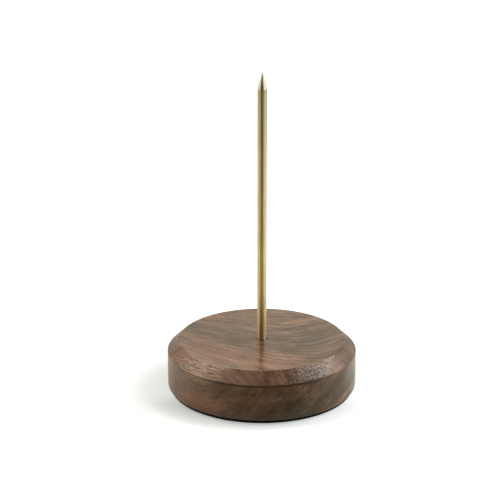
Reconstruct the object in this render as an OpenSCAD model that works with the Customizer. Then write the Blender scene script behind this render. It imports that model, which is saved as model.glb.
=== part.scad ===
// Bill spike: a turned walnut base with a wide chamfered rim and a pointed brass spike.
// The threaded tail of the spike is screwed into a brass insert in the underside of the
// base, and a felt pad covers the underside.
// Millimetres, +Z up, origin at the centre of the underside of the pad.

/* [Base] */
// Diameter of the wooden base
base_d = 80; // [50:1:140]
// Thickness of the wooden base
base_h = 20; // [15:0.5:40]
// How far the chamfer reaches in across the top
chamfer_w = 4.9; // [2:0.1:12]
// How far the chamfer drops down the side
chamfer_h = 4.5; // [2:0.1:10]
// Radius of the sanded edges above and below the chamfer
edge_r = 0.4; // [0.2:0.05:0.9]
// Radius of the sanded bottom edge
foot_r = 0.8; // [0.2:0.1:2]

/* [Spike] */
// Diameter of the spike
spike_d = 4; // [3:0.1:8]
// Length of the spike above the base, with its point
spike_l = 114.5; // [50:0.5:200]
// Length of the turned point
point_l = 6.8; // [3:0.1:20]
// Diameter of the blunt end of the point
tip_d = 0.3; // [0.1:0.05:0.8]
// How far the thread on the buried tail stays inside the shank's surface
tail_relief = 0.05; // [0.02:0.01:0.2]

/* [Hole in the base] */
// Gap between the spike and the hole, at each side
hole_gap = 0.25; // [0.1:0.05:0.6]
// Width of the broken edge at the mouth of the hole
mouth_break = 0.2; // [0.1:0.05:0.5]

/* [Metric thread] */
// Pitch of the thread on the tail of the spike
thread_pitch = 0.7; // [0.5:0.05:1]
// Gap between the two metric threads, measured outwards
thread_gap = 0.08; // [0.04:0.01:0.12]

/* [Threaded insert] */
// Length of the insert
insert_l = 10; // [7:0.5:12]
// Wall of the insert between its two threads
insert_wall = 1.2; // [0.8:0.1:2]
// Pitch of the wood thread round the insert
wood_pitch = 2.5; // [2:0.1:4]
// Depth of the wood thread
wood_depth = 0.9; // [0.5:0.1:1.2]
// Gap between the insert and the wood, measured outwards
wood_gap = 0.06; // [0.03:0.01:0.1]
// How far the insert sits inside the underside of the base
insert_recess = 0.5; // [0.2:0.1:1]
// Room left in the wood above the insert
pocket_room = 0.3; // [0.1:0.1:1]
// Width of the screwdriver slot
slot_w = 1.2; // [0.8:0.1:2]
// Depth of the screwdriver slot
slot_h = 1.6; // [0.8:0.1:3]
// How far the tail of the spike ends inside the insert
tail_recess = 0.4; // [0.2:0.1:2]

/* [Felt pad] */
// Thickness of the felt
pad_t = 1.5; // [0.8:0.1:4]
// How far the pad is set in from the side of the base
pad_inset = 1; // [0.5:0.1:6]

/* [Hidden] */
$fn = 96;

// Heights of the faces that the pieces share
underside_z = pad_t;
top_z = underside_z + base_h;
insert_z0 = underside_z + insert_recess;
insert_z1 = insert_z0 + insert_l;
pocket_z1 = insert_z1 + pocket_room;
tail_z0 = insert_z0 + tail_recess;
tip_z = top_z + spike_l;
point_z = tip_z - point_l;

// Depth of an external metric thread as a share of its pitch
metric_depth = 0.6134;

// Radii from the spike outwards
spike_r = spike_d / 2;
hole_r = spike_r + hole_gap;
tail_r = spike_r - tail_relief;
thread_depth = metric_depth * thread_pitch;
root_r = tail_r - thread_depth;
insert_r = tail_r + thread_gap + insert_wall;
base_r = base_d / 2;

// Shares of the pitch that are flat at the root and at the crest of each thread
metric_root_share = 0.25;
metric_crest_share = 0.125;
wood_root_share = 0.5;
wood_crest_share = 0.08;

// Sides round each thread, and rings in one pitch of it
metric_side_count = 18;
metric_ring_count = 6;
wood_side_count = 24;
wood_ring_count = 12;

metric_form = [metric_root_share, metric_crest_share, metric_side_count, metric_ring_count];
wood_form = [wood_root_share, wood_crest_share, wood_side_count, wood_ring_count];

// Steps in the arc of a sanded edge
edge_steps = 6;

walnut = [0.38, 0.26, 0.18];
brass = [0.78, 0.64, 0.38];
felt = [0.06, 0.06, 0.06];

function unit(v) = v / norm(v);

// Points of an arc of radius r that eases corner b between its neighbours a and c
function eased(a, b, c, r) =
    let (
        u = unit(a - b),
        v = unit(c - b),
        half = acos(u * v) / 2,
        centre = b + unit(u + v) * r / sin(half),
        from = b + u * r / tan(half) - centre,
        start = atan2(from.y, from.x),
        swing = 180 - 2 * half
    )
    [for (i = [0 : edge_steps])
        centre + r * [cos(start + swing * i / edge_steps), sin(start + swing * i / edge_steps)]];

// Height of a thread at u pitches along it, from 0 at the root to 1 at the crest
function thread_height(u, root_flat, crest_flat) =
    let (rise = 1 - abs(2 * (u - floor(u)) - 1))
    max(0, min(1, (rise - root_flat) / (1 - root_flat - crest_flat)));

// Round bar with a right-hand thread from z0 to z1. Its rings lie at whole steps of the
// pitch, so that a bar and a hole of the same pitch and form stay the same gap apart.
// end_break is how far both ends are turned below the root, at 45 degrees.
module threaded_bar(low_r, high_r, pitch, form, z0, z1, end_break) {
    sides = form[2];
    step = pitch / form[3];
    inner = [for (k = [floor(z0 / step) : ceil(z1 / step)])
        if (k * step > z0 + step / 4 && k * step < z1 - step / 4) k * step];
    levels = concat([z0], inner, [z1]);
    last = len(levels) - 1;
    top = last * sides;
    points = [for (z = levels, j = [0 : sides - 1])
        let (
            thread_r = low_r + (high_r - low_r) * thread_height(z / pitch - j / sides, form[0], form[1]),
            end_r = low_r - end_break + min(z - z0, z1 - z),
            r = end_break > 0 ? min(thread_r, end_r) : thread_r
        )
        [r * cos(360 * j / sides), r * sin(360 * j / sides), z]];
    wall = [for (k = [0 : last - 1], j = [0 : sides - 1])
        let (
            a = k * sides + j,
            b = k * sides + (j + 1) % sides
        )
        each [[a, a + sides, b + sides], [a, b + sides, b]]];
    foot = [for (j = [1 : sides - 2]) [0, j, j + 1]];
    head = [for (j = [1 : sides - 2]) [top, top + j + 1, top + j]];
    polyhedron(points, concat(wall, foot, head));
}

// Turned disc with a chamfered rim, bored for the spike and tapped below for the insert
module base() {
    bottom_in = [hole_r, underside_z];
    bottom_out = [base_r, underside_z];
    side_top = [base_r, top_z - chamfer_h];
    rim = [base_r - chamfer_w, top_z];
    mouth_out = [hole_r + mouth_break, top_z];
    mouth_in = [hole_r, top_z - mouth_break];
    color(walnut)
    difference() {
        rotate_extrude()
        polygon(concat(
            [bottom_in],
            eased(bottom_in, bottom_out, side_top, foot_r),
            eased(bottom_out, side_top, rim, edge_r),
            eased(side_top, rim, mouth_out, edge_r),
            [mouth_out, mouth_in]
        ));
        threaded_bar(insert_r + wood_gap, insert_r + wood_depth + wood_gap, wood_pitch, wood_form,
            underside_z - wood_pitch, pocket_z1, 0);
    }
}

// Rod with a conical point. Its buried tail is threaded all the way, to screw into the insert.
module spike() {
    sink = thread_depth / 2;
    color(brass)
    union() {
        rotate_extrude()
        polygon([
            [0, top_z],
            [spike_r, top_z],
            [spike_r, point_z],
            [tip_d / 2, tip_z],
            [0, tip_z]
        ]);
        threaded_bar(root_r, tail_r, thread_pitch, metric_form, tail_z0, top_z + sink, sink / 2);
    }
}

// Brass insert: coarse thread outside for the wood, metric thread inside for the spike
module threaded_insert() {
    slot_l = 2 * (insert_r + wood_depth + wood_gap);
    color(brass)
    difference() {
        threaded_bar(insert_r, insert_r + wood_depth, wood_pitch, wood_form, insert_z0, insert_z1,
            wood_depth / 2);
        threaded_bar(root_r + thread_gap, tail_r + thread_gap, thread_pitch, metric_form,
            insert_z0 - thread_pitch, insert_z1 + thread_pitch, 0);
        translate([-slot_l / 2, -slot_w / 2, insert_z0 - slot_h])
        cube([slot_l, slot_w, 2 * slot_h]);
    }
}

// Felt disc glued under the base
module felt_pad() {
    color(felt)
    cylinder(r = base_r - pad_inset, h = pad_t);
}

base();
spike();
threaded_insert();
felt_pad();
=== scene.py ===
import math

import bmesh
import bpy
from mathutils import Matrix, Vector, noise


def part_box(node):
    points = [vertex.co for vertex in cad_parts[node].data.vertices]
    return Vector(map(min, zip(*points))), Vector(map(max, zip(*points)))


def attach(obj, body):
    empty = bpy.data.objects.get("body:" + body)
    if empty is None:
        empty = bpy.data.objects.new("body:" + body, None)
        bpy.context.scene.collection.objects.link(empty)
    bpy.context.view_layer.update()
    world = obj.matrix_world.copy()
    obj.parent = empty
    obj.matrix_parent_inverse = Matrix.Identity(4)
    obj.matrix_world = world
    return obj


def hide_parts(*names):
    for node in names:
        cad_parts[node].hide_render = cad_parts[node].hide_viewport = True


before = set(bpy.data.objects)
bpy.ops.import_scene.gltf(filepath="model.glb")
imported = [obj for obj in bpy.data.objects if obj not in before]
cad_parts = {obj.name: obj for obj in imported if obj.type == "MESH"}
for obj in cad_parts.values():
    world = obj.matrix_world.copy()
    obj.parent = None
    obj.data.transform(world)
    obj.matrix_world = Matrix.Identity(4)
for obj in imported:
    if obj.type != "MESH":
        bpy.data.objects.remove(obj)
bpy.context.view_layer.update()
scene = bpy.context.scene
scene.view_settings.view_transform = "Standard"
print("frame loaded:", ", ".join(sorted(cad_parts)))


def linear(hexColour):  # sRGB hex to linear RGBA
    parts = [int(hexColour[i:i + 2], 16) / 255 for i in (1, 3, 5)]
    return [p / 12.92 if p <= 0.04045 else ((p + 0.055) / 1.055) ** 2.4 for p in parts] + [1.0]


def addNode(tree, kind, settings=None, inputs=None):
    made = tree.nodes.new(kind)
    for name, value in (settings or {}).items():
        if name == "stops":  # colour ramp: (place, hex) pairs
            ramp = made.color_ramp
            while len(ramp.elements) < len(value):
                ramp.elements.new(0.5)
            for element, stop in zip(ramp.elements, value):
                element.position = stop[0]
            for element, stop in zip(ramp.elements, value):
                element.color = linear(stop[1])
        else:
            setattr(made, name, value)
    for key, value in (inputs or {}).items():
        if isinstance(value, bpy.types.NodeSocket):
            tree.links.new(value, made.inputs[key])
        else:
            made.inputs[key].default_value = value
    return made


def startMaterial(name):
    material = bpy.data.materials.new(name)
    material.use_nodes = True
    tree = material.node_tree
    tree.nodes.clear()
    shader = addNode(tree, "ShaderNodeBsdfPrincipled")
    addNode(tree, "ShaderNodeOutputMaterial", None, {"Surface": shader.outputs[0]})
    coords = addNode(tree, "ShaderNodeTexCoord")
    inMm = addNode(tree, "ShaderNodeVectorMath", {"operation": "SCALE"},
                   {0: coords.outputs["Object"], "Scale": 1000.0})
    return material, tree, shader, inMm.outputs[0]


# The camera stands in front and a little above, aimed halfway up the spike.
cameraView = {
    "lensMm": 106.80,
    "sensorMm": 36.0,
    "distance": 0.6175,   # m
    "elevation": 18.697,  # degrees
    "aim": (-0.00498, 0.0, 0.06098),
    "clip": (0.01, 20.0),
}


def placeCamera():
    data = bpy.data.cameras.new("camera")
    data.sensor_width = cameraView["sensorMm"]
    data.lens = cameraView["lensMm"]
    data.clip_start, data.clip_end = cameraView["clip"]
    camera = bpy.data.objects.new("camera", data)
    scene.collection.objects.link(camera)
    tilt = math.radians(cameraView["elevation"])
    back = Vector((0.0, -math.cos(tilt), math.sin(tilt)))
    camera.location = Vector(cameraView["aim"]) + back * cameraView["distance"]
    camera.rotation_euler = (math.pi / 2 - tilt, 0.0, 0.0)
    scene.camera = camera


placeCamera()
print("camera placed")


# Black walnut, turned, sanded fine and oiled. Bands of pink and grey brown swing across the disc,
# with thin dark ring lines and open pores. The cutter has torn the chamfer, which breaks its shine.
walnut = {
    "bands": [  # across the grain, from the front to the back of the disc
        (0.00, "#A07C62"),
        (0.09, "#92705A"),
        (0.18, "#86634B"),
        (0.26, "#8D6549"),
        (0.34, "#805B46"),
        (0.42, "#82604A"),
        (0.51, "#674E38"),
        (0.59, "#614F39"),
        (0.69, "#64503A"),
        (0.74, "#7C5B46"),
        (0.87, "#7F5F46"),
        (1.00, "#69523A"),
    ],
    "bandSpan": (-64.0, 38.0),  # mm across the grain
    "bandLean": 1.3,       # the bands slope more with depth than the rings
    "bandJitter": 22.0,    # mm that the streaks push them about
    "bend": 0.0115,        # per mm, how fast the grain swings round
    "bendFade": 0.0002,    # the swing is wider at the back
    "bendAt": 12.0,        # mm right of the spike, where it runs straight across
    "bendShift": 0.3,      # that place lies further right towards the front
    "bendRight": 1.6,      # it swings faster on that side
    "bendEase": 2.0,       # mm to each side of it, over which that sets in
    "lean": 0.74,          # slope of the rings with depth
    "drift": 8.0,          # mm that the grain wanders
    "driftSize": 26.0,     # mm from one wander to the next
    "ringGap": 3.4,        # mm between growth rings
    "ringJitter": 2.0,     # mm
    "ringDarkens": (0.68, 0.9),  # shares of the gap
    "ringEnds": (0.9, 1.0),
    # noise drawn out along the grain: mm long, wide and deep, its detail and roughness,
    # then how it changes, from and to, before and after
    "patterns": {
        "streak": ((28.0, 2.4, 2.4), 3.0, 0.55, "LINEAR", (0.3, 0.7, 0.8, 1.2)),
        "breaks": ((18.0, 5.0, 9.0), 3.0, 0.6, "SMOOTHSTEP", (0.34, 0.5, 0.0, 1.0)),  # in the ring lines
        "vein": ((17.0, 1.3, 1.3), 2.0, 0.5, "SMOOTHSTEP", (0.34, 0.45, 1.0, 0.0)),   # thin, dark
        "fibre": ((9.0, 0.8, 0.8), 3.0, 0.6, "LINEAR", (0.28, 0.72, 0.9, 1.1)),     # coarser than real
        "blotch": ((12.0, 6.5, 6.5), 2.0, 0.5, "LINEAR", (0.3, 0.7, 0.69, 1.31)),   # light and dark
        "torn": ((2.8, 0.4, 0.4), 2.0, 0.6, "SMOOTHSTEP", (0.36, 0.5, 0.0, 1.0)),   # on the chamfer
    },
    "pores": (6.0, 0.9, 0.9),    # mm, drawn about twice as coarse as real pores so that they show
    "poreEdge": (0.12, 0.36),    # where a pore fades, as shares of its cell
    "poreFewest": 0.35,          # where the wood is close
    "scraped": (7.0, 0.8),       # mm round and down, streaks that the cutter left in the chamfer
    "scrapedEdge": (0.36, 0.62),  # of the noise
    "chamferRadius": 37.5,       # mm, halfway down the chamfer
    "edgeDrop": 4.5,             # mm from the seat down to the chamfer's lower edge
    "paintedEdgeShadeBelow": 0.45,        # mm below that edge, where a thin line of painted shade runs
    "paintedEdgeShadeFade": (0.1, 0.75, 0.7, 0.0),  # mm away from it, from and to, before and after
    "zones": {  # smooth changes over the block: measured along, from and to in mm, before and after
        "belowSeat": ("depth", -0.1, -0.5, 0.0, 1.0),
        "soaked": ("depth", -0.2, -0.6, 0.0, 1.0),     # oil goes deeper beside the seat
        "aboveEdge": ("overEdge", -0.2, 0.2, 0.0, 1.0),
        "facing": ("aside", 10.0, 24.0, 1.0, 0.0),     # front and back of the chamfer and wall
        "tornFrom": ("aside", 12.0, 20.0, 0.0, 1.0),
        "tornLeft": ("x", -27.0, -33.0, 1.0, 0.4),     # less torn at both ends
        "tornRight": ("x", 23.0, 30.0, 1.0, 0.15),
        "warmEnd": ("aside", 27.0, 33.0, 0.0, 1.0),
        "leftEnd": ("x", -31.0, -36.0, 0.0, 1.0),
        "fewerPores": ("x", 17.0, 26.0, 1.0, 0.3),
        "duller": ("x", 23.0, 30.0, 0.0, 0.2),         # rougher at the right end of the chamfer
        "paintedEdgeShade": ("y", -38.0, -27.0, 1.0, 0.2),      # the painted shade line is strongest in front
    },
    "slopes": {  # the same, changing evenly
        "fainter": ("depth", -0.1, -0.6, 1.0, 0.4),    # lines, beside the seat
        "stronger": ("x", 0.0, 25.0, 1.0, 1.5),        # lines, on the right
        "bolder": ("x", -5.0, 25.0, 1.0, 2.2),         # light and dark, on the right
        "greyer": ("x", -2.0, 8.0, 0.0, 0.3),          # torn wood, on the right
        "tornDepth": ("x", -10.0, 10.0, 0.07, 0.17),
        "scrapeDepth": ("x", -10.0, 10.0, 0.28, 0.16),
    },
    "paintedFacingShade": "#E2EDFA",     # painted shade: the front and back of the chamfer and wall darker and greyer
    "seatShade": "#EEF2FF",      # the seat, greyed a little by the oil
    "endShade": "#EAF2F5",       # end grain at the left, darker and greyer with oil
    "endChamfer": "#F3EADE",     # warmer at both ends of the chamfer
    "tornShade": "#7C7068",      # greyer where it is torn
    "ringLine": (0.8, "#3A291C"),  # strength and colour
    "veinLine": (0.65, "#3A291C"),
    "poreDot": (0.5, "#2A1C12"),
    # painted shade along the chamfer's lower edge
    "paintedEdgeShade": (1.0, "#2E2015"),
    "roughness": 0.2,
    "topRoughness": 0.15,        # the seat is sanded finer
    "poreRough": 0.2,            # more in a pore
    "tornGloss": 0.06,           # less where it is torn
    "poreFilled": 0.2,           # depth left where oil has filled the pores
    "raised": (0.1, 0.3),        # fibre, on the seat and beside it
    "bump": 0.0005,              # m
    "ior": 1.5,
    "oilTint": "#FFF4E8",        # the oil film is a little amber
}


def oiledWalnut():
    w = walnut
    material, tree, shader, place = startMaterial("oiled walnut")
    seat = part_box("base")[1].z * 1000
    x, y, z = addNode(tree, "ShaderNodeSeparateXYZ", None, {0: place}).outputs
    depth = addNode(tree, "ShaderNodeMath", {"operation": "SUBTRACT"}, {0: z, 1: seat}).outputs[0]
    overEdge = addNode(tree, "ShaderNodeMath", {"operation": "ADD"},
                       {0: depth, 1: w["edgeDrop"]}).outputs[0]
    aside = addNode(tree, "ShaderNodeMath", {"operation": "ABSOLUTE"}, {0: x}).outputs[0]
    measured = {"x": x, "y": y, "depth": depth, "overEdge": overEdge, "aside": aside}
    zone = {}
    for change, table in (("SMOOTHSTEP", w["zones"]), ("LINEAR", w["slopes"])):
        for name, (along, *limits) in table.items():
            zone[name] = addNode(tree, "ShaderNodeMapRange", {"interpolation_type": change},
                                 dict(enumerate([measured[along], *limits]))).outputs[0]

    # across: distance across the bent, leaning grain
    bendX = addNode(tree, "ShaderNodeMath", {"operation": "MULTIPLY_ADD"},
                    {0: y, 1: -w["bendShift"], 2: w["bendAt"]}).outputs[0]
    side = addNode(tree, "ShaderNodeMath", {"operation": "SUBTRACT"}, {0: x, 1: bendX}).outputs[0]
    swing = addNode(tree, "ShaderNodeMath", {"operation": "MULTIPLY_ADD"},
                    {0: y, 1: -w["bendFade"], 2: w["bend"]}).outputs[0]
    faster = addNode(tree, "ShaderNodeMapRange", None,
                     {0: side, 1: -w["bendEase"], 2: w["bendEase"], 3: 1.0, 4: w["bendRight"]}).outputs[0]
    bow = side
    for part in (side, swing, faster):
        bow = addNode(tree, "ShaderNodeMath", {"operation": "MULTIPLY"}, {0: bow, 1: part}).outputs[0]
    level = addNode(tree, "ShaderNodeMath", {"operation": "SUBTRACT"}, {0: y, 1: bow}).outputs[0]
    level = addNode(tree, "ShaderNodeMath", {"operation": "MULTIPLY_ADD"},
                    {0: depth, 1: -w["lean"], 2: level}).outputs[0]
    drift = addNode(tree, "ShaderNodeTexNoise", None,
                    {"Vector": place, "Scale": 1 / w["driftSize"], "Detail": 2.0,
                     "Roughness": 0.5}).outputs[0]
    drift = addNode(tree, "ShaderNodeMapRange", {"clamp": False},
                    {0: drift, 3: -w["drift"] / 2, 4: w["drift"] / 2}).outputs[0]
    across = addNode(tree, "ShaderNodeMath", {"operation": "ADD"}, {0: level, 1: drift}).outputs[0]
    grain = addNode(tree, "ShaderNodeCombineXYZ", None, {0: x, 1: across, 2: z}).outputs[0]

    # streaks, veins and the like, drawn out along the grain
    plain, drawn = {}, {}
    for name, (size, detail, roughness, change, limits) in w["patterns"].items():
        at = addNode(tree, "ShaderNodeVectorMath", {"operation": "MULTIPLY"},
                     {0: grain, 1: [1 / mm for mm in size]}).outputs[0]
        plain[name] = addNode(tree, "ShaderNodeTexNoise", None,
                              {"Vector": at, "Scale": 1.0, "Detail": detail,
                               "Roughness": roughness}).outputs[0]
        drawn[name] = addNode(tree, "ShaderNodeMapRange", {"interpolation_type": change},
                              dict(enumerate([plain[name], *limits]))).outputs[0]

    # broad bands of colour, blurred into one another along the grain
    front, back = [edge + w["bandJitter"] / 2 for edge in w["bandSpan"]]
    banded = addNode(tree, "ShaderNodeMath", {"operation": "MULTIPLY_ADD"},
                     {0: plain["streak"], 1: w["bandJitter"], 2: across}).outputs[0]
    banded = addNode(tree, "ShaderNodeMath", {"operation": "MULTIPLY_ADD"},
                     {0: depth, 1: -w["bandLean"], 2: banded}).outputs[0]
    banded = addNode(tree, "ShaderNodeMapRange", None, {0: banded, 1: front, 2: back}).outputs[0]
    colour = addNode(tree, "ShaderNodeValToRGB", {"stops": w["bands"]}, {0: banded}).outputs[0]

    # growth rings: each darkens slowly and ends sharply
    ring = addNode(tree, "ShaderNodeMath", {"operation": "MULTIPLY_ADD"},
                   {0: plain["streak"], 1: w["ringJitter"], 2: across}).outputs[0]
    ring = addNode(tree, "ShaderNodeMath", {"operation": "DIVIDE"}, {0: ring, 1: w["ringGap"]}).outputs[0]
    phase = addNode(tree, "ShaderNodeMath", {"operation": "FRACT"}, {0: ring}).outputs[0]
    line = addNode(tree, "ShaderNodeMapRange", {"interpolation_type": "SMOOTHSTEP"},
                   {0: phase, 1: w["ringDarkens"][0], 2: w["ringDarkens"][1]}).outputs[0]
    ended = addNode(tree, "ShaderNodeMapRange", {"interpolation_type": "SMOOTHSTEP"},
                    {0: phase, 1: w["ringEnds"][0], 2: w["ringEnds"][1], 3: 1.0, 4: 0.0}).outputs[0]
    faint = addNode(tree, "ShaderNodeMath", {"operation": "MULTIPLY"},
                    {0: zone["fainter"], 1: zone["stronger"]}).outputs[0]
    for part in (ended, drawn["breaks"], faint):
        line = addNode(tree, "ShaderNodeMath", {"operation": "MULTIPLY"}, {0: line, 1: part}).outputs[0]
    vein = addNode(tree, "ShaderNodeMath", {"operation": "MULTIPLY"},
                   {0: drawn["vein"], 1: faint}).outputs[0]

    # open pores, long along the grain and dots where the chamfer cuts across it
    poreAt = addNode(tree, "ShaderNodeVectorMath", {"operation": "MULTIPLY"},
                     {0: grain, 1: [1 / mm for mm in w["pores"]]}).outputs[0]
    poreCell = addNode(tree, "ShaderNodeTexVoronoi", {"feature": "F1"},
                       {"Vector": poreAt, "Scale": 1.0, "Randomness": 1.0}).outputs["Distance"]
    pore = addNode(tree, "ShaderNodeMapRange", {"interpolation_type": "SMOOTHSTEP"},
                   {0: poreCell, 1: w["poreEdge"][0], 2: w["poreEdge"][1], 3: 1.0, 4: 0.0}).outputs[0]
    crowd = addNode(tree, "ShaderNodeMapRange", None,
                    {0: drawn["breaks"], 3: w["poreFewest"], 4: 1.0}).outputs[0]
    for part in (crowd, zone["fewerPores"]):
        pore = addNode(tree, "ShaderNodeMath", {"operation": "MULTIPLY"}, {0: pore, 1: part}).outputs[0]

    # streaks that the cutter left round the chamfer
    long, wide = w["scraped"]
    turn = addNode(tree, "ShaderNodeMath", {"operation": "ARCTAN2"}, {0: x, 1: y}).outputs[0]
    scrapeAt = addNode(tree, "ShaderNodeCombineXYZ", None, {0: turn, 1: depth}).outputs[0]
    scrapeAt = addNode(tree, "ShaderNodeVectorMath", {"operation": "MULTIPLY"},
                       {0: scrapeAt, 1: (w["chamferRadius"] / long, 1 / wide, 1.0)}).outputs[0]
    scraped = addNode(tree, "ShaderNodeTexNoise", None,
                      {"Vector": scrapeAt, "Scale": 1.0, "Detail": 2.0, "Roughness": 0.6}).outputs[0]
    scraped = addNode(tree, "ShaderNodeMapRange", {"interpolation_type": "SMOOTHSTEP"},
                      {0: scraped, 1: w["scrapedEdge"][0], 2: w["scrapedEdge"][1]}).outputs[0]
    chamfer = addNode(tree, "ShaderNodeMath", {"operation": "MULTIPLY"},
                      {0: zone["belowSeat"], 1: zone["aboveEdge"]}).outputs[0]
    tornHere = chamfer
    for limit in ("tornFrom", "tornLeft", "tornRight"):
        tornHere = addNode(tree, "ShaderNodeMath", {"operation": "MULTIPLY"},
                           {0: tornHere, 1: zone[limit]}).outputs[0]

    # a thin line of painted shade along the chamfer's lower edge, strongest in front
    fromLine = addNode(tree, "ShaderNodeMath", {"operation": "ADD"},
                       {0: overEdge, 1: w["paintedEdgeShadeBelow"]}).outputs[0]
    fromLine = addNode(tree, "ShaderNodeMath", {"operation": "ABSOLUTE"}, {0: fromLine}).outputs[0]
    paintedEdgeShade = addNode(tree, "ShaderNodeMapRange", {"interpolation_type": "SMOOTHSTEP"},
                      dict(enumerate([fromLine, *w["paintedEdgeShadeFade"]]))).outputs[0]
    paintedEdgeShade = addNode(tree, "ShaderNodeMath", {"operation": "MULTIPLY"},
                      {0: paintedEdgeShade, 1: zone["paintedEdgeShade"]}).outputs[0]

    # lighter and darker wood, then the oil's tones and a painted shade on the front and back, then the dark
    # lines and dots and a painted shade line along the chamfer's lower edge
    shade = drawn["streak"]
    for part in (drawn["fibre"], drawn["blotch"]):
        shade = addNode(tree, "ShaderNodeMath", {"operation": "MULTIPLY"}, {0: shade, 1: part}).outputs[0]
    shade = addNode(tree, "ShaderNodeMath", {"operation": "POWER"},
                    {0: shade, 1: zone["bolder"]}).outputs[0]
    soaked = zone["soaked"]
    onSeat = addNode(tree, "ShaderNodeMapRange", None, {0: soaked, 3: 1.0, 4: 0.0}).outputs[0]
    # front and back of the chamfer and wall: oil fills the pores there, and a painted shade darkens them
    filledAndPaintedShade = addNode(tree, "ShaderNodeMath", {"operation": "MULTIPLY"},
                     {0: soaked, 1: zone["facing"]}).outputs[0]
    leftEnd = addNode(tree, "ShaderNodeMath", {"operation": "MULTIPLY"},
                      {0: zone["leftEnd"], 1: soaked}).outputs[0]
    warmEnd = addNode(tree, "ShaderNodeMath", {"operation": "MULTIPLY"},
                      {0: zone["warmEnd"], 1: chamfer}).outputs[0]
    for amount, tone in ((1.0, shade), (filledAndPaintedShade, linear(w["paintedFacingShade"])), (onSeat, linear(w["seatShade"])),
                         (leftEnd, linear(w["endShade"])), (warmEnd, linear(w["endChamfer"]))):
        colour = addNode(tree, "ShaderNodeMix", {"data_type": "RGBA", "blend_type": "MULTIPLY"},
                         {0: amount, 6: colour, 7: tone}).outputs[2]
    for amount, strength, tone in ((tornHere, zone["greyer"], w["tornShade"]), (line, *w["ringLine"]),
                                   (vein, *w["veinLine"]), (pore, *w["poreDot"]), (paintedEdgeShade, *w["paintedEdgeShade"])):
        part = addNode(tree, "ShaderNodeMath", {"operation": "MULTIPLY"},
                       {0: amount, 1: strength}).outputs[0]
        colour = addNode(tree, "ShaderNodeMix", {"data_type": "RGBA"},
                         {0: part, 6: colour, 7: linear(tone)}).outputs[2]

    rough = addNode(tree, "ShaderNodeMapRange", None,
                    {0: soaked, 3: w["topRoughness"], 4: w["roughness"]}).outputs[0]
    for amount, more in ((pore, w["poreRough"]), (tornHere, -w["tornGloss"]), (chamfer, zone["duller"])):
        rough = addNode(tree, "ShaderNodeMath", {"operation": "MULTIPLY_ADD"},
                        {0: amount, 1: more, 2: rough}).outputs[0]

    # raised fibre, sunken pores, and the torn and scraped chamfer
    sunken = addNode(tree, "ShaderNodeMapRange", None, {0: filledAndPaintedShade, 3: 1.0, 4: w["poreFilled"]}).outputs[0]
    sunken = addNode(tree, "ShaderNodeMath", {"operation": "MULTIPLY"}, {0: pore, 1: sunken}).outputs[0]
    height = addNode(tree, "ShaderNodeMath", {"operation": "SUBTRACT"},
                     {0: plain["fibre"], 1: sunken}).outputs[0]
    raised = addNode(tree, "ShaderNodeMapRange", None,
                     {0: soaked, 3: w["raised"][0], 4: w["raised"][1]}).outputs[0]
    height = addNode(tree, "ShaderNodeMath", {"operation": "MULTIPLY"}, {0: height, 1: raised}).outputs[0]
    for marks, deep in ((drawn["torn"], zone["tornDepth"]), (scraped, zone["scrapeDepth"])):
        deep = addNode(tree, "ShaderNodeMath", {"operation": "MULTIPLY"}, {0: deep, 1: tornHere}).outputs[0]
        height = addNode(tree, "ShaderNodeMath", {"operation": "MULTIPLY_ADD"},
                         {0: marks, 1: deep, 2: height}).outputs[0]
    bump = addNode(tree, "ShaderNodeBump", None,
                   {"Strength": 1.0, "Distance": w["bump"], "Height": height}).outputs[0]
    tree.links.new(colour, shader.inputs["Base Color"])
    tree.links.new(rough, shader.inputs["Roughness"])
    tree.links.new(bump, shader.inputs["Normal"])
    shader.inputs["IOR"].default_value = w["ior"]
    shader.inputs["Specular Tint"].default_value = linear(w["oilTint"])
    return material


# Brass rod, drawn through a die, rubbed down and cut to a turned point. Fine rubbing round the rod
# smears reflections along it, and handling has left it a little darker in patches.
drawnBrass = {
    "bright": "#F0E2B6",
    "dulled": "#DECDA0",
    "dullPatch": (3.0, 3.0, 14.0),  # mm, two ways across and along
    "dullEdge": (0.4, 0.7, 0.0, 0.7),  # of the noise, from and to, before and after
    "point": "#ECF0DE",    # freshly turned, paler
    "foot": "#DEC69A",     # painted shade: darker brass just above the wood
    "footReach": (22.0, 38.0),      # mm up
    "shankTop": 129.2,     # mm up, where the turned point begins
    "pointEdge": 0.1,      # mm to each side
    "drawLine": (0.12, 0.12, 60.0),   # mm between draw lines and along them, coarser than real ones
    "turnedLine": (50.0, 50.0, 0.2),  # mm round and between tool marks on the point
    "markBump": (0.25, 0.00001),      # strength, and height in m
    "roughness": 0.17,
    "markRough": 0.12,     # more and less in the marks
    "dullRough": 0.06,     # more in the dull patches
    "pointPolish": 0.07,   # the point is this much smoother
    "scuff": 0.16,         # the foot is this much rougher
    "scuffReach": (33.0, 46.0),     # mm up
    "brushed": 0.9,        # rubbed down round the rod, so reflections smear along it
    "brushTurn": 0.25,     # a quarter turn, across the tangent round the rod
}


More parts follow.
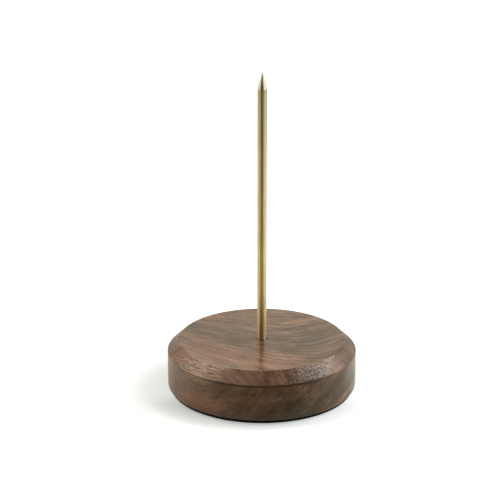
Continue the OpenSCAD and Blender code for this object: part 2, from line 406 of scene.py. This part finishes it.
def brassForSpike():
    b = drawnBrass
    material, tree, shader, place = startMaterial("drawn brass")
    z = addNode(tree, "ShaderNodeSeparateXYZ", None, {0: place}).outputs[2]
    pattern = {}
    for name, detail in (("drawLine", 2.0), ("turnedLine", 2.0), ("dullPatch", 4.0)):
        at = addNode(tree, "ShaderNodeVectorMath", {"operation": "MULTIPLY"},
                     {0: place, 1: [1 / mm for mm in b[name]]}).outputs[0]
        pattern[name] = addNode(tree, "ShaderNodeTexNoise", None,
                                {"Vector": at, "Scale": 1.0, "Detail": detail, "Roughness": 0.6}).outputs[0]
    onPoint = addNode(tree, "ShaderNodeMapRange", None,
                      {0: z, 1: b["shankTop"] - b["pointEdge"],
                       2: b["shankTop"] + b["pointEdge"]}).outputs[0]
    marks = addNode(tree, "ShaderNodeMix", {"data_type": "FLOAT"},
                    {0: onPoint, 2: pattern["drawLine"], 3: pattern["turnedLine"]}).outputs[0]
    dull = addNode(tree, "ShaderNodeMapRange", {"interpolation_type": "SMOOTHSTEP"},
                   dict(enumerate([pattern["dullPatch"], *b["dullEdge"]]))).outputs[0]
    # painted shade on the brass just above the wood
    paintedShadeAtFoot = addNode(tree, "ShaderNodeMapRange", {"interpolation_type": "SMOOTHSTEP"},
                     {0: z, 1: b["footReach"][0], 2: b["footReach"][1], 3: 1.0, 4: 0.0}).outputs[0]
    scuffed = addNode(tree, "ShaderNodeMapRange", {"interpolation_type": "SMOOTHSTEP"},
                      {0: z, 1: b["scuffReach"][0], 2: b["scuffReach"][1], 3: b["scuff"],
                       4: 0.0}).outputs[0]
    colour = linear(b["bright"])
    for amount, tone in ((dull, "dulled"), (paintedShadeAtFoot, "foot"), (onPoint, "point")):
        colour = addNode(tree, "ShaderNodeMix", {"data_type": "RGBA"},
                         {0: amount, 6: colour, 7: linear(b[tone])}).outputs[2]
    rough = b["roughness"] - b["markRough"] / 2
    for amount, more in ((marks, b["markRough"]), (dull, b["dullRough"]), (onPoint, -b["pointPolish"]),
                         (scuffed, 1.0)):
        rough = addNode(tree, "ShaderNodeMath", {"operation": "MULTIPLY_ADD"},
                        {0: amount, 1: more, 2: rough}).outputs[0]
    bump = addNode(tree, "ShaderNodeBump", None,
                   {"Strength": b["markBump"][0], "Distance": b["markBump"][1], "Height": marks}).outputs[0]
    rubbed = addNode(tree, "ShaderNodeTangent", {"direction_type": "RADIAL", "axis": "Z"}).outputs[0]
    tree.links.new(rubbed, shader.inputs["Tangent"])
    tree.links.new(colour, shader.inputs["Base Color"])
    tree.links.new(rough, shader.inputs["Roughness"])
    tree.links.new(bump, shader.inputs["Normal"])
    shader.inputs["Metallic"].default_value = 1.0
    shader.inputs["Anisotropic"].default_value = b["brushed"]
    shader.inputs["Anisotropic Rotation"].default_value = b["brushTurn"]
    return material


# Brass screw insert, turned from bar and left as cut: yellower than the spike, with tool rings.
machinedBrass = {
    "bright": "#E3C988",
    "dulled": "#B89B5E",
    "toolLine": 0.25,     # mm between tool rings
    "toolWander": 0.3,    # per mm, how soon a ring changes round the bar
    "ringBump": (0.3, 0.00002),  # strength, and height in m
    "roughness": 0.3,
    "ringRough": 0.2,     # more and less in the rings
}


def brassForInsert():
    b = machinedBrass
    material, tree, shader, place = startMaterial("machined brass")
    ringAt = addNode(tree, "ShaderNodeVectorMath", {"operation": "MULTIPLY"},
                     {0: place, 1: (b["toolWander"], b["toolWander"], 1 / b["toolLine"])}).outputs[0]
    rings = addNode(tree, "ShaderNodeTexNoise", None,
                    {"Vector": ringAt, "Scale": 1.0, "Detail": 3.0, "Roughness": 0.6}).outputs[0]
    colour = addNode(tree, "ShaderNodeMix", {"data_type": "RGBA"},
                     {0: rings, 6: linear(b["bright"]), 7: linear(b["dulled"])}).outputs[2]
    rough = addNode(tree, "ShaderNodeMath", {"operation": "MULTIPLY_ADD"},
                    {0: rings, 1: b["ringRough"], 2: b["roughness"] - b["ringRough"] / 2}).outputs[0]
    bump = addNode(tree, "ShaderNodeBump", None,
                   {"Strength": b["ringBump"][0], "Distance": b["ringBump"][1], "Height": rings}).outputs[0]
    tree.links.new(colour, shader.inputs["Base Color"])
    tree.links.new(rough, shader.inputs["Roughness"])
    tree.links.new(bump, shader.inputs["Normal"])
    shader.inputs["Metallic"].default_value = 1.0
    return material


# Pressed wool felt, dyed black. Matted fibres show as a soft fleck, with a dusty sheen at a slant.
feltFinish = {
    "fleck": [(0.45, "#0E0E0F"), (1.0, "#2A2A2C")],
    "fibre": 0.35,        # mm, drawn coarser than real fibre
    "tangle": 2.5,        # how much the fibres curl
    "lump": 4.0,          # mm between thicker and thinner patches
    "lumpShare": 0.5,
    "matBump": (0.8, 0.0002),  # strength, and height in m
    "roughness": 0.95,
    "specular": 0.2,
    "sheen": 0.25,
    "sheenRoughness": 0.5,
}


def pressedFelt():
    f = feltFinish
    material, tree, shader, place = startMaterial("pressed felt")
    lumps = addNode(tree, "ShaderNodeTexNoise", None,
                    {"Vector": place, "Scale": 1 / f["lump"], "Detail": 3.0, "Roughness": 0.6}).outputs[0]
    tangle = addNode(tree, "ShaderNodeTexNoise", None,
                     {"Vector": place, "Scale": 1 / f["fibre"], "Detail": 3.0, "Roughness": 0.7,
                      "Distortion": f["tangle"]}).outputs[0]
    mat = addNode(tree, "ShaderNodeMath", {"operation": "MULTIPLY_ADD"},
                  {0: lumps, 1: f["lumpShare"], 2: tangle}).outputs[0]
    colour = addNode(tree, "ShaderNodeValToRGB", {"stops": f["fleck"]}, {0: mat}).outputs[0]
    bump = addNode(tree, "ShaderNodeBump", None,
                   {"Strength": f["matBump"][0], "Distance": f["matBump"][1], "Height": mat}).outputs[0]
    tree.links.new(colour, shader.inputs["Base Color"])
    tree.links.new(bump, shader.inputs["Normal"])
    shader.inputs["Roughness"].default_value = f["roughness"]
    shader.inputs["Specular IOR Level"].default_value = f["specular"]
    shader.inputs["Sheen Weight"].default_value = f["sheen"]
    shader.inputs["Sheen Roughness"].default_value = f["sheenRoughness"]
    return material


def dressNode(nodeName, material):
    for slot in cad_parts[nodeName].material_slots:
        slot.material = material


dressNode("base", oiledWalnut())
dressNode("spike", brassForSpike())
dressNode("threaded_insert", brassForInsert())
print("walnut and brass on the base, spike and insert")


# The felt pad under the base: a die-cut disc with a soft edge and a slightly uneven face.
feltPad = {
    "edgeSoft": 0.00035,   # m, how far the cut edge rounds over
    "edgeWave": 0.00008,   # m, wander of the cut
    "edgeWaves": 9.0,
    "edgeOnly": 8,         # the wander dies off this fast towards the middle
    "faceWave": 0.00006,   # m, thick and thin patches
    "facePatches": 420.0,  # per m
    "around": 240,
    "topRings": 8,
    "rings": 44,           # in the lower face
    "edgeSteps": 6,
}


def makeFeltPad():
    f = feltPad
    low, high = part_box("felt_pad")
    radius = (high.x - low.x) / 2
    thick = high.z - low.z
    soft = f["edgeSoft"]
    # profile from the middle of the upper face, round the edge, to the middle of the lower face
    turns = [math.pi / 2 * i / f["edgeSteps"] for i in range(f["edgeSteps"] + 1)]
    profile = [(radius * i / f["topRings"], thick) for i in range(1, f["topRings"])]
    profile += [(radius - soft + soft * math.sin(t), thick - soft + soft * math.cos(t)) for t in turns]
    profile += [(radius - soft + soft * math.cos(t), soft - soft * math.sin(t)) for t in turns]
    profile += [((radius - soft) * (1 - i / f["rings"]), 0.0) for i in range(1, f["rings"])]

    bm = bmesh.new()
    loops = []
    for r, z in profile:
        loop = []
        for k in range(f["around"]):
            angle = 2 * math.pi * k / f["around"]
            out = Vector((math.cos(angle), math.sin(angle), 0.0))
            wander = noise.noise(out * f["edgeWaves"]) * f["edgeWave"] - f["edgeWave"]
            reach = r + wander * (r / radius) ** f["edgeOnly"]
            point = Vector((out.x * reach, out.y * reach, low.z + z))
            if z < soft:  # the lower face and edge are a little uneven
                lift = 0.5 + 0.5 * noise.noise(point * f["facePatches"])
                point.z += lift * f["faceWave"]
            loop.append(bm.verts.new(point))
        loops.append(loop)
    for one, two in zip(loops, loops[1:]):
        for k in range(f["around"]):
            n = (k + 1) % f["around"]
            bm.faces.new((one[k], two[k], two[n], one[n]))
    for loop, z, flip in ((loops[0], high.z, False), (loops[-1], low.z + f["faceWave"] / 2, True)):
        middle = bm.verts.new((0.0, 0.0, z))
        for k in range(f["around"]):
            n = (k + 1) % f["around"]
            bm.faces.new((loop[n], loop[k], middle) if flip else (loop[k], loop[n], middle))
    bmesh.ops.recalc_face_normals(bm, faces=bm.faces)
    for face in bm.faces:
        face.smooth = True
    mesh = bpy.data.meshes.new("felt_disc")
    bm.to_mesh(mesh)
    bm.free()
    pad = bpy.data.objects.new("felt_disc", mesh)
    scene.collection.objects.link(pad)
    mesh.materials.append(pressedFelt())
    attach(pad, "root")
    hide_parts("felt_pad")


makeFeltPad()
print("felt disc made")


# The set: a white table, a soft box on each side and a little behind, and a brown card lying
# in front that only reflections see, which draws the dark stripe down the spike.
studio = {
    "tableReach": 3.0,         # m
    "tableColour": "#B7BEBF",
    "tableWarm": "#FFF0DC",    # its colour in reflections
    "paintedLightSide": (0.6, -0.8, 0.0),  # towards the painted light, away from the shadow
    "tableZones": {  # its glow: measured along, change, from and to in mm, before and after
        "lit": ("lit", "LINEAR", -8.0, 38.0, 0.0, 0.3),          # painted light: more glow on the side away from the shadow
        "lift": ("away", "LINEAR", 42.0, 115.0, 0.46, 1.0),      # near and far: faint near the base, a painted shadow round it, and white far off for the camera
        "front": ("y", "SMOOTHSTEP", -8.0, -26.0, 1.0, 0.4),     # painted contact shadow: less glow where the base meets it in front
        "glossSide": ("x", "LINEAR", -60.0, 60.0, 0.28, 0.5),    # what reflections see close round the base
        "glossClose": ("away", "SMOOTHSTEP", 70.0, 108.0, 1.0, 0.0),
        "glossFar": ("x", "LINEAR", -150.0, 150.0, 0.08, 0.3),   # and further out
        "glossFade": ("away", "LINEAR", 240.0, 400.0, 1.0, 0.45),
    },
    "paintedContactShadow": (39.5, 52.0),         # mm, where the base meets the table, over which the painted contact shadow fades
    "glossFarFrom": (100.0, 150.0),  # mm
    "cardCorners": [           # m, lying on the table
        (-0.075, -0.046), (-0.095, -0.1), (-0.67, -0.8),
        (0.42, -0.8), (0.075, -0.1), (0.07, -0.046),
    ],
    "cardLift": 0.0004,        # m
    "card": [                  # from the near edge to the far one
        (0.0, "#9A845B"),
        (0.28, "#AE9668"),
        (1.0, "#6F634B"),
    ],
    "cardSpan": (-90.0, -400.0),  # mm
    "boxSize": 0.42,           # m
    "boxDistance": 0.65,       # m
    "boxAim": (0.0, 0.0, 0.02),
    "boxes": {                 # degrees round from the front, degrees up, watts, colour
        "right": (106.0, 45.0, 3.15, "#FAFCFF"),
        "left": (-106.0, 46.0, 2.9, "#FFF8EC"),
    },
    "white": "#FFFFFF",
    "roomBright": "#FFF8E8",
    "roomInGloss": "#FFF3DF",  # its colour in reflections
    "roomDark": "#665F56",
    "roomFront": "#1E1B18",    # what reflections see of the front wall
    "roomStrength": (0.85, 1.06),  # and in reflections
    "roomZones": {  # along the view direction: axis, change, from and to, before and after
        "rise": ("z", "SMOOTHSTEP", 0.31, 0.355, 0.0, 1.0),      # above the low band
        "backShift": ("z", "SMOOTHSTEP", 0.4, 0.46, 0.25, 0.0),
        "below": ("z", "SMOOTHSTEP", 0.35, 0.75, 1.0, 0.25),     # darker overhead
        "above": ("z", "SMOOTHSTEP", 0.34, 0.5, 0.0, 1.0),
        "front": ("y", "SMOOTHSTEP", -0.4, -0.65, 0.0, 1.0),
        "lowSides": ("x", "LINEAR", -0.6, 0.6, 0.68, 0.95),      # low band, left and right
    },
    "lowBand": (-0.87, -0.75),  # how far round to the front the low band fades
    "lowBandLeft": 0.3,        # further on the left
    "backWall": (-0.2, 0.32),  # how far round to the back it brightens
    "roomMiddle": 0.08,        # the back wall is brightest here, and darker to both sides
    "roomSides": 1.2,
    "roomSidesLeast": 0.3,
}


def makeFlat(name, corners):
    mesh = bpy.data.meshes.new(name)
    mesh.from_pydata(corners, [], [tuple(range(len(corners)))])
    flat = bpy.data.objects.new(name, mesh)
    scene.collection.objects.link(flat)
    return flat


def makeTable():
    s = studio
    reach = s["tableReach"]
    table = makeFlat("table", [(-reach, -reach, 0.0), (reach, -reach, 0.0),
                               (reach, reach, 0.0), (-reach, reach, 0.0)])
    material, tree, shader, place = startMaterial("white table")
    rays = addNode(tree, "ShaderNodeLightPath").outputs
    seen = addNode(tree, "ShaderNodeMath", {"operation": "MAXIMUM"},
                   {0: rays["Is Camera Ray"], 1: rays["Is Transmission Ray"]}).outputs[0]
    x, y = addNode(tree, "ShaderNodeSeparateXYZ", None, {0: place}).outputs[:2]
    away = addNode(tree, "ShaderNodeVectorMath", {"operation": "LENGTH"}, {0: place}).outputs["Value"]
    lit = addNode(tree, "ShaderNodeVectorMath", {"operation": "DOT_PRODUCT"},
                  {0: place, 1: s["paintedLightSide"]}).outputs["Value"]
    measured = {"x": x, "y": y, "away": away, "lit": lit}
    zone = {}
    for name, (along, change, *limits) in s["tableZones"].items():
        zone[name] = addNode(tree, "ShaderNodeMapRange", {"interpolation_type": change},
                             dict(enumerate([measured[along], *limits]))).outputs[0]

    # white for the camera, but only faintly close to the object, which paints a shadow round it, darkest
    # where the base meets it in front; more glow on the side away from the shadow is painted light
    paintedContactShadow = addNode(tree, "ShaderNodeMapRange", None,
                    {0: away, 1: s["paintedContactShadow"][0], 2: s["paintedContactShadow"][1], 3: zone["front"], 4: 1.0}).outputs[0]
    lift = addNode(tree, "ShaderNodeMath", {"operation": "MULTIPLY_ADD"},
                   {0: zone["lift"], 1: paintedContactShadow, 2: zone["lit"]}).outputs[0]

    # fainter in reflections
    close = addNode(tree, "ShaderNodeMath", {"operation": "MULTIPLY"},
                    {0: zone["glossClose"], 1: zone["glossSide"]}).outputs[0]
    outer = addNode(tree, "ShaderNodeMapRange", {"interpolation_type": "SMOOTHSTEP"},
                    {0: away, 1: s["glossFarFrom"][0], 2: s["glossFarFrom"][1], 3: 0.0,
                     4: zone["glossFar"]}).outputs[0]
    gloss = addNode(tree, "ShaderNodeMath", {"operation": "MULTIPLY_ADD"},
                    {0: outer, 1: zone["glossFade"], 2: close}).outputs[0]
    gloss = addNode(tree, "ShaderNodeMath", {"operation": "MULTIPLY"},
                    {0: gloss, 1: rays["Is Glossy Ray"]}).outputs[0]
    glow = addNode(tree, "ShaderNodeMath", {"operation": "MULTIPLY_ADD"},
                   {0: lift, 1: seen, 2: gloss}).outputs[0]
    tint = addNode(tree, "ShaderNodeMix", {"data_type": "RGBA"},
                   {0: rays["Is Glossy Ray"], 6: linear(s["white"]), 7: linear(s["tableWarm"])}).outputs[2]
    tree.links.new(glow, shader.inputs["Emission Strength"])
    tree.links.new(tint, shader.inputs["Emission Color"])
    shader.inputs["Base Color"].default_value = linear(s["tableColour"])
    shader.inputs["Roughness"].default_value = 1.0
    shader.inputs["Specular IOR Level"].default_value = 0.0
    table.data.materials.append(material)


def makeCard():
    s = studio
    card = makeFlat("front_card", [(x, y, s["cardLift"]) for x, y in s["cardCorners"]])
    card.visible_camera = False
    card.visible_diffuse = False
    card.visible_shadow = False
    material, tree, shader, place = startMaterial("brown card")
    y = addNode(tree, "ShaderNodeSeparateXYZ", None, {0: place}).outputs[1]
    far = addNode(tree, "ShaderNodeMapRange", None,
                  {0: y, 1: s["cardSpan"][0], 2: s["cardSpan"][1]}).outputs[0]
    colour = addNode(tree, "ShaderNodeValToRGB", {"stops": s["card"]}, {0: far}).outputs[0]
    tree.links.new(colour, shader.inputs["Base Color"])
    shader.inputs["Roughness"].default_value = 1.0
    shader.inputs["Specular IOR Level"].default_value = 0.0
    card.data.materials.append(material)


def makeLights():
    s = studio
    target = Vector(s["boxAim"])
    for name, (around, up, watts, colour) in s["boxes"].items():
        a, e = math.radians(around), math.radians(up)
        way = Vector((math.sin(a) * math.cos(e), -math.cos(a) * math.cos(e), math.sin(e)))
        data = bpy.data.lights.new("softbox_" + name, "AREA")
        data.shape = "SQUARE"
        data.size = s["boxSize"]
        data.energy = watts
        data.color = linear(colour)[:3]
        lamp = bpy.data.objects.new("softbox_" + name, data)
        lamp.location = target + way * s["boxDistance"]
        lamp.rotation_euler = way.to_track_quat("Z", "Y").to_euler()
        scene.collection.objects.link(lamp)


def makeRoom():
    s = studio
    world = bpy.data.worlds.new("room")
    scene.world = world
    world.use_nodes = True
    tree = world.node_tree
    tree.nodes.clear()
    rays = addNode(tree, "ShaderNodeLightPath").outputs
    coords = addNode(tree, "ShaderNodeTexCoord").outputs["Generated"]
    x, y, z = addNode(tree, "ShaderNodeSeparateXYZ", None, {0: coords}).outputs
    measured = {"x": x, "y": y, "z": z}
    zone = {}
    for name, (along, change, *limits) in s["roomZones"].items():
        zone[name] = addNode(tree, "ShaderNodeMapRange", {"interpolation_type": change},
                             dict(enumerate([measured[along], *limits]))).outputs[0]

    # where it is bright: a low band nearly all round, and the back wall above it
    around = addNode(tree, "ShaderNodeMath", {"operation": "MINIMUM"}, {0: x, 1: 0.0}).outputs[0]
    around = addNode(tree, "ShaderNodeMath", {"operation": "MULTIPLY_ADD"},
                     {0: around, 1: s["lowBandLeft"], 2: y}).outputs[0]
    around = addNode(tree, "ShaderNodeMapRange", {"interpolation_type": "SMOOTHSTEP"},
                     {0: around, 1: s["lowBand"][0], 2: s["lowBand"][1]}).outputs[0]
    back = addNode(tree, "ShaderNodeMath", {"operation": "SUBTRACT"},
                   {0: y, 1: zone["backShift"]}).outputs[0]
    back = addNode(tree, "ShaderNodeMapRange", {"interpolation_type": "SMOOTHSTEP"},
                   {0: back, 1: s["backWall"][0], 2: s["backWall"][1]}).outputs[0]
    bright = addNode(tree, "ShaderNodeMix", {"data_type": "FLOAT"},
                     {0: zone["rise"], 2: around, 3: back}).outputs[0]

    # darker to both sides
    aside = addNode(tree, "ShaderNodeMath", {"operation": "SUBTRACT"},
                    {0: x, 1: s["roomMiddle"]}).outputs[0]
    aside = addNode(tree, "ShaderNodeMath", {"operation": "MULTIPLY"}, {0: aside, 1: aside}).outputs[0]
    aside = addNode(tree, "ShaderNodeMath", {"operation": "MULTIPLY_ADD"},
                    {0: aside, 1: -s["roomSides"], 2: 1.0}).outputs[0]
    aside = addNode(tree, "ShaderNodeMath", {"operation": "MAXIMUM"},
                    {0: aside, 1: s["roomSidesLeast"]}).outputs[0]
    lowSides = addNode(tree, "ShaderNodeMix", {"data_type": "FLOAT"},
                       {0: zone["rise"], 2: zone["lowSides"], 3: 1.0}).outputs[0]
    aside = addNode(tree, "ShaderNodeMix", {"data_type": "FLOAT"},
                    {0: zone["above"], 2: lowSides, 3: aside}).outputs[0]
    for part in (zone["below"], aside):
        bright = addNode(tree, "ShaderNodeMath", {"operation": "MULTIPLY"}, {0: bright, 1: part}).outputs[0]

    front = zone["front"]
    for part in (zone["rise"], rays["Is Glossy Ray"]):
        front = addNode(tree, "ShaderNodeMath", {"operation": "MULTIPLY"}, {0: front, 1: part}).outputs[0]
    dark = addNode(tree, "ShaderNodeMix", {"data_type": "RGBA"},
                   {0: front, 6: linear(s["roomDark"]), 7: linear(s["roomFront"])}).outputs[2]
    wall = addNode(tree, "ShaderNodeMix", {"data_type": "RGBA"},
                   {0: rays["Is Glossy Ray"], 6: linear(s["roomBright"]),
                    7: linear(s["roomInGloss"])}).outputs[2]
    shade = addNode(tree, "ShaderNodeMix", {"data_type": "RGBA"}, {0: bright, 6: dark, 7: wall}).outputs[2]
    strength = addNode(tree, "ShaderNodeMapRange", None,
                       {0: rays["Is Glossy Ray"], 3: s["roomStrength"][0],
                        4: s["roomStrength"][1]}).outputs[0]
    light = addNode(tree, "ShaderNodeBackground", None, {"Color": shade, "Strength": strength})

    # the camera sees it white
    white = addNode(tree, "ShaderNodeBackground", None, {"Color": linear(s["white"]), "Strength": 1.0})
    seen = addNode(tree, "ShaderNodeMath", {"operation": "MAXIMUM"},
                   {0: rays["Is Camera Ray"], 1: rays["Is Transmission Ray"]}).outputs[0]
    mixed = addNode(tree, "ShaderNodeMixShader", None, {0: seen, 1: light.outputs[0], 2: white.outputs[0]})
    addNode(tree, "ShaderNodeOutputWorld", None, {"Surface": mixed.outputs[0]})


makeTable()
makeCard()
makeLights()
makeRoom()
print("studio set")
